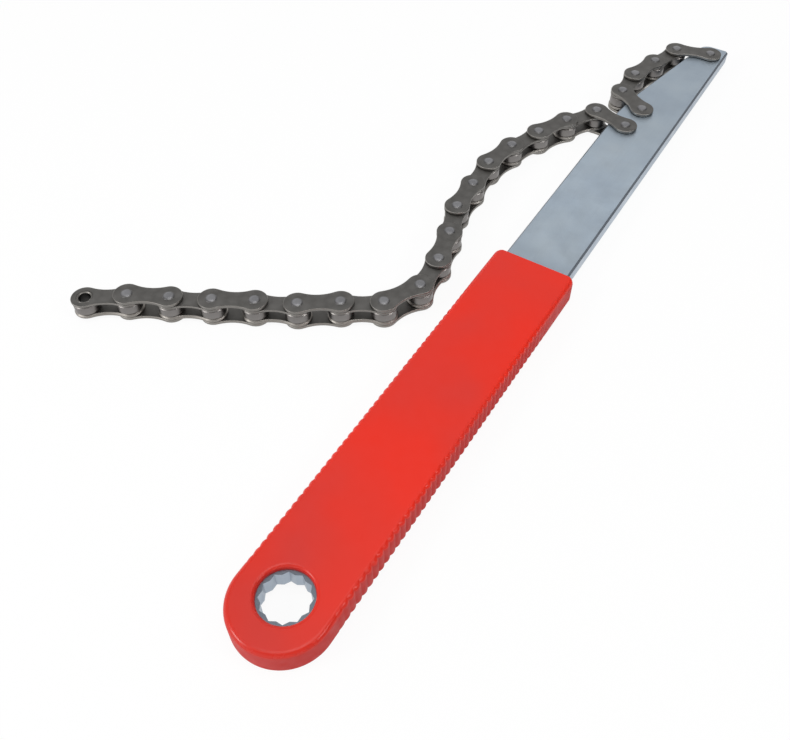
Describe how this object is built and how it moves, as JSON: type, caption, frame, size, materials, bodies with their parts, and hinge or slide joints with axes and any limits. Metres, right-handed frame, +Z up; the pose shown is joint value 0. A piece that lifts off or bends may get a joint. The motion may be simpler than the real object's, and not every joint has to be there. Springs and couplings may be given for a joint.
{
  "type": "chain whip",
  "caption": "Flat steel bar with a ribbed red grip and a ring-spanner hole, with lengths of roller chain riveted to its far end to hold a bicycle sprocket.",
  "frame": {"origin": "on the wrench hole's axis, in the plane of the grip's underside", "axes": "+X along the bar from the wrench hole to the riveted end, +Y to the side that the chains are on, +Z up out of the flat face"},
  "size_m": [0.2881, 0.1248, 0.008],
  "materials": {
    "plated_steel": "bluish zinc plating, faintly mottled",
    "grip_plastic": "soft moulded plastic, satin to glossy red",
    "chain_plates": "dark oiled chain steel",
    "chain_pins": "dark bright-ended pins",
    "chain_rollers": "dark oiled rollers"
  },
  "bodies": {
    "tool": {"bar": "plated_steel", "grip": "grip_plastic"},
    "long_link_01": {"long_link_01_outer_plates": "chain_plates", "long_link_01_pins": "chain_pins"},
    "long_link_02": {"long_link_02_inner_plates": "chain_plates"},
    "long_roller_02a": {"long_roller_02a": "chain_rollers"},
    "long_roller_02b": {"long_roller_02b": "chain_rollers"},
    "long_link_03": {"long_link_03_outer_plates": "chain_plates", "long_link_03_pins": "chain_pins"},
    "long_link_04": {"long_link_04_inner_plates": "chain_plates"},
    "long_roller_04a": {"long_roller_04a": "chain_rollers"},
    "long_roller_04b": {"long_roller_04b": "chain_rollers"},
    "long_link_05": {"long_link_05_outer_plates": "chain_plates", "long_link_05_pins": "chain_pins"},
    "long_link_06": {"long_link_06_inner_plates": "chain_plates"},
    "long_roller_06a": {"long_roller_06a": "chain_rollers"},
    "long_roller_06b": {"long_roller_06b": "chain_rollers"},
    "long_link_07": {"long_link_07_outer_plates": "chain_plates", "long_link_07_pins": "chain_pins"},
    "long_link_08": {"long_link_08_inner_plates": "chain_plates"},
    "long_roller_08a": {"long_roller_08a": "chain_rollers"},
    "long_roller_08b": {"long_roller_08b": "chain_rollers"},
    "long_link_09": {"long_link_09_outer_plates": "chain_plates", "long_link_09_pins": "chain_pins"},
    "long_link_10": {"long_link_10_inner_plates": "chain_plates"},
    "long_roller_10a": {"long_roller_10a": "chain_rollers"},
    "long_roller_10b": {"long_roller_10b": "chain_rollers"},
    "long_link_11": {"long_link_11_outer_plates": "chain_plates", "long_link_11_pins": "chain_pins"},
    "long_link_12": {"long_link_12_inner_plates": "chain_plates"},
    "long_roller_12a": {"long_roller_12a": "chain_rollers"},
    "long_roller_12b": {"long_roller_12b": "chain_rollers"},
    "long_link_13": {"long_link_13_outer_plates": "chain_plates", "long_link_13_pins": "chain_pins"},
    "long_link_14": {"long_link_14_inner_plates": "chain_plates"},
    "long_roller_14a": {"long_roller_14a": "chain_rollers"},
    "long_roller_14b": {"long_roller_14b": "chain_rollers"},
    "long_link_15": {"long_link_15_outer_plates": "chain_plates", "long_link_15_pins": "chain_pins"},
    "long_link_16": {"long_link_16_inner_plates": "chain_plates"},
    "long_roller_16a": {"long_roller_16a": "chain_rollers"},
    "long_roller_16b": {"long_roller_16b": "chain_rollers"},
    "long_link_17": {"long_link_17_outer_plates": "chain_plates", "long_link_17_pins": "chain_pins"},
    "long_link_18": {"long_link_18_inner_plates": "chain_plates"},
    "long_roller_18a": {"long_roller_18a": "chain_rollers"},
    "long_roller_18b": {"long_roller_18b": "chain_rollers"},
    "short_link_01": {"short_link_01_outer_plates": "chain_plates", "short_link_01_pins": "chain_pins"},
    "short_link_02": {"short_link_02_inner_plates": "chain_plates"},
    "short_roller_02a": {"short_roller_02a": "chain_rollers"},
    "short_roller_02b": {"short_roller_02b": "chain_rollers"},
    "short_link_03": {"short_link_03_outer_plates": "chain_plates", "short_link_03_pins": "chain_pins"},
    "short_link_04": {"short_link_04_inner_plates": "chain_plates"},
    "short_roller_04a": {"short_roller_04a": "chain_rollers"},
    "short_roller_04b": {"short_roller_04b": "chain_rollers"},
    "short_link_05": {"short_link_05_outer_plates": "chain_plates", "short_link_05_pins": "chain_pins"}
  },
  "joints": [
    {"name": "long_hinge_01", "type": "hinge", "parent": "tool", "child": "long_link_01", "pos_m": [0.2063, 0.0045, 0.004], "axis": [0, 0, 1], "range_deg": [-20, 3]},
    {"name": "long_hinge_02", "type": "hinge", "parent": "long_link_01", "child": "long_link_02", "pos_m": [0.20948, 0.0168, 0.004], "axis": [0, 0, -1], "range_deg": [-3, 30]},
    {"name": "long_roller_spin_02a", "type": "hinge", "parent": "long_link_02", "child": "long_roller_02a", "pos_m": [0.20948, 0.0168, 0.004], "axis": [0, 0, 1], "continuous": true},
    {"name": "long_roller_spin_02b", "type": "hinge", "parent": "long_link_02", "child": "long_roller_02b", "pos_m": [0.19877, 0.02362, 0.004], "axis": [0, 0, 1], "continuous": true},
    {"name": "long_hinge_03", "type": "hinge", "parent": "long_link_02", "child": "long_link_03", "pos_m": [0.19877, 0.02362, 0.004], "axis": [0, 0, 1], "range_deg": [-30, 3]},
    {"name": "long_hinge_04", "type": "hinge", "parent": "long_link_03", "child": "long_link_04", "pos_m": [0.18726, 0.02899, 0.004], "axis": [0, 0, -1], "range_deg": [-4, 30]},
    {"name": "long_roller_spin_04a", "type": "hinge", "parent": "long_link_04", "child": "long_roller_04a", "pos_m": [0.18726, 0.02899, 0.004], "axis": [0, 0, 1], "continuous": true},
    {"name": "long_roller_spin_04b", "type": "hinge", "parent": "long_link_04", "child": "long_roller_04b", "pos_m": [0.17536, 0.03343, 0.004], "axis": [0, 0, 1], "continuous": true},
    {"name": "long_hinge_05", "type": "hinge", "parent": "long_link_04", "child": "long_link_05", "pos_m": [0.17536, 0.03343, 0.004], "axis": [0, 0, 1], "range_deg": [-30, 4]},
    {"name": "long_hinge_06", "type": "hinge", "parent": "long_link_05", "child": "long_link_06", "pos_m": [0.16288, 0.03575, 0.004], "axis": [0, 0, -1], "range_deg": [-5, 30]},
    {"name": "long_roller_spin_06a", "type": "hinge", "parent": "long_link_06", "child": "long_roller_06a", "pos_m": [0.16288, 0.03575, 0.004], "axis": [0, 0, 1], "continuous": true},
    {"name": "long_roller_spin_06b", "type": "hinge", "parent": "long_link_06", "child": "long_roller_06b", "pos_m": [0.15021, 0.03475, 0.004], "axis": [0, 0, 1], "continuous": true},
    {"name": "long_hinge_07", "type": "hinge", "parent": "long_link_06", "child": "long_link_07", "pos_m": [0.15021, 0.03475, 0.004], "axis": [0, 0, 1], "range_deg": [-30, 7]},
    {"name": "long_hinge_08", "type": "hinge", "parent": "long_link_07", "child": "long_link_08", "pos_m": [0.13756, 0.03365, 0.004], "axis": [0, 0, -1], "range_deg": [-10, 30]},
    {"name": "long_roller_spin_08a", "type": "hinge", "parent": "long_link_08", "child": "long_roller_08a", "pos_m": [0.13756, 0.03365, 0.004], "axis": [0, 0, 1], "continuous": true},
    {"name": "long_roller_spin_08b", "type": "hinge", "parent": "long_link_08", "child": "long_roller_08b", "pos_m": [0.12555, 0.02951, 0.004], "axis": [0, 0, 1], "continuous": true},
    {"name": "long_hinge_09", "type": "hinge", "parent": "long_link_08", "child": "long_link_09", "pos_m": [0.12555, 0.02951, 0.004], "axis": [0, 0, 1], "range_deg": [-30, 15]},
    {"name": "long_hinge_10", "type": "hinge", "parent": "long_link_09", "child": "long_link_10", "pos_m": [0.11326, 0.02633, 0.004], "axis": [0, 0, -1], "range_deg": [-28, 30]},
    {"name": "long_roller_spin_10a", "type": "hinge", "parent": "long_link_10", "child": "long_roller_10a", "pos_m": [0.11326, 0.02633, 0.004], "axis": [0, 0, 1], "continuous": true},
    {"name": "long_roller_spin_10b", "type": "hinge", "parent": "long_link_10", "child": "long_roller_10b", "pos_m": [0.10061, 0.02522, 0.004], "axis": [0, 0, 1], "continuous": true},
    {"name": "long_hinge_11", "type": "hinge", "parent": "long_link_10", "child": "long_link_11", "pos_m": [0.10061, 0.02522, 0.004], "axis": [0, 0, 1], "range_deg": [-30, 30]},
    {"name": "long_hinge_12", "type": "hinge", "parent": "long_link_11", "child": "long_link_12", "pos_m": [0.08915, 0.03069, 0.004], "axis": [0, 0, -1], "range_deg": [-30, 30]},
    {"name": "long_roller_spin_12a", "type": "hinge", "parent": "long_link_12", "child": "long_roller_12a", "pos_m": [0.08915, 0.03069, 0.004], "axis": [0, 0, 1], "continuous": true},
    {"name": "long_roller_spin_12b", "type": "hinge", "parent": "long_link_12", "child": "long_roller_12b", "pos_m": [0.08251, 0.04152, 0.004], "axis": [0, 0, 1], "continuous": true},
    {"name": "long_hinge_13", "type": "hinge", "parent": "long_link_12", "child": "long_link_13", "pos_m": [0.08251, 0.04152, 0.004], "axis": [0, 0, 1], "range_deg": [-30, 30]},
    {"name": "long_hinge_14", "type": "hinge", "parent": "long_link_13", "child": "long_link_14", "pos_m": [0.07522, 0.05192, 0.004], "axis": [0, 0, -1], "range_deg": [-30, 30]},
    {"name": "long_roller_spin_14a", "type": "hinge", "parent": "long_link_14", "child": "long_roller_14a", "pos_m": [0.07522, 0.05192, 0.004], "axis": [0, 0, 1], "continuous": true},
    {"name": "long_roller_spin_14b", "type": "hinge", "parent": "long_link_14", "child": "long_roller_14b", "pos_m": [0.06956, 0.06329, 0.004], "axis": [0, 0, 1], "continuous": true},
    {"name": "long_hinge_15", "type": "hinge", "parent": "long_link_14", "child": "long_link_15", "pos_m": [0.06956, 0.06329, 0.004], "axis": [0, 0, 1], "range_deg": [-30, 30]},
    {"name": "long_hinge_16", "type": "hinge", "parent": "long_link_15", "child": "long_link_16", "pos_m": [0.0634, 0.0744, 0.004], "axis": [0, 0, -1], "range_deg": [-30, 30]},
    {"name": "long_roller_spin_16a", "type": "hinge", "parent": "long_link_16", "child": "long_roller_16a", "pos_m": [0.0634, 0.0744, 0.004], "axis": [0, 0, 1], "continuous": true},
    {"name": "long_roller_spin_16b", "type": "hinge", "parent": "long_link_16", "child": "long_roller_16b", "pos_m": [0.05754, 0.08566, 0.004], "axis": [0, 0, 1], "continuous": true},
    {"name": "long_hinge_17", "type": "hinge", "parent": "long_link_16", "child": "long_link_17", "pos_m": [0.05754, 0.08566, 0.004], "axis": [0, 0, 1], "range_deg": [-30, 30]},
    {"name": "long_hinge_18", "type": "hinge", "parent": "long_link_17", "child": "long_link_18", "pos_m": [0.05177, 0.09698, 0.004], "axis": [0, 0, -1], "range_deg": [-30, 30]},
    {"name": "long_roller_spin_18a", "type": "hinge", "parent": "long_link_18", "child": "long_roller_18a", "pos_m": [0.05177, 0.09698, 0.004], "axis": [0, 0, 1], "continuous": true},
    {"name": "long_roller_spin_18b", "type": "hinge", "parent": "long_link_18", "child": "long_roller_18b", "pos_m": [0.04476, 0.10757, 0.004], "axis": [0, 0, 1], "continuous": true},
    {"name": "short_hinge_01", "type": "hinge", "parent": "tool", "child": "short_link_01", "pos_m": [0.2664, -0.0053, 0.004], "axis": [0, 0, 1], "range_deg": [-2, 7]},
    {"name": "short_hinge_02", "type": "hinge", "parent": "short_link_01", "child": "short_link_02", "pos_m": [0.26296, 0.00693, 0.004], "axis": [0, 0, 1], "range_deg": [-9.3, 2.7]},
    {"name": "short_roller_spin_02a", "type": "hinge", "parent": "short_link_02", "child": "short_roller_02a", "pos_m": [0.26296, 0.00693, 0.004], "axis": [0, 0, 1], "continuous": true},
    {"name": "short_roller_spin_02b", "type": "hinge", "parent": "short_link_02", "child": "short_roller_02b", "pos_m": [0.25095, 0.01104, 0.004], "axis": [0, 0, 1], "continuous": true},
    {"name": "short_hinge_03", "type": "hinge", "parent": "short_link_02", "child": "short_link_03", "pos_m": [0.25095, 0.01104, 0.004], "axis": [0, 0, 1], "range_deg": [-0.1, 0.2]},
    {"name": "short_hinge_04", "type": "hinge", "parent": "short_link_03", "child": "short_link_04", "pos_m": [0.23863, 0.01411, 0.004], "axis": [0, 0, 1], "range_deg": [-0.2, 0.6]},
    {"name": "short_roller_spin_04a", "type": "hinge", "parent": "short_link_04", "child": "short_roller_04a", "pos_m": [0.23863, 0.01411, 0.004], "axis": [0, 0, 1], "continuous": true},
    {"name": "short_roller_spin_04b", "type": "hinge", "parent": "short_link_04", "child": "short_roller_04b", "pos_m": [0.22593, 0.0138, 0.004], "axis": [0, 0, 1], "continuous": true},
    {"name": "short_hinge_05", "type": "hinge", "parent": "short_link_04", "child": "short_link_05", "pos_m": [0.22593, 0.0138, 0.004], "axis": [0, 0, 1], "range_deg": [-2.3, 7.9]}
  ],
  "couplings": [
    {"joint": "short_hinge_02", "follows": "short_hinge_01", "ratio": -1.3196},
    {"joint": "short_hinge_03", "follows": "short_hinge_01", "ratio": 0.025},
    {"joint": "short_hinge_04", "follows": "short_hinge_01", "ratio": 0.082},
    {"joint": "short_hinge_05", "follows": "short_hinge_01", "ratio": 1.1208}
  ]
}
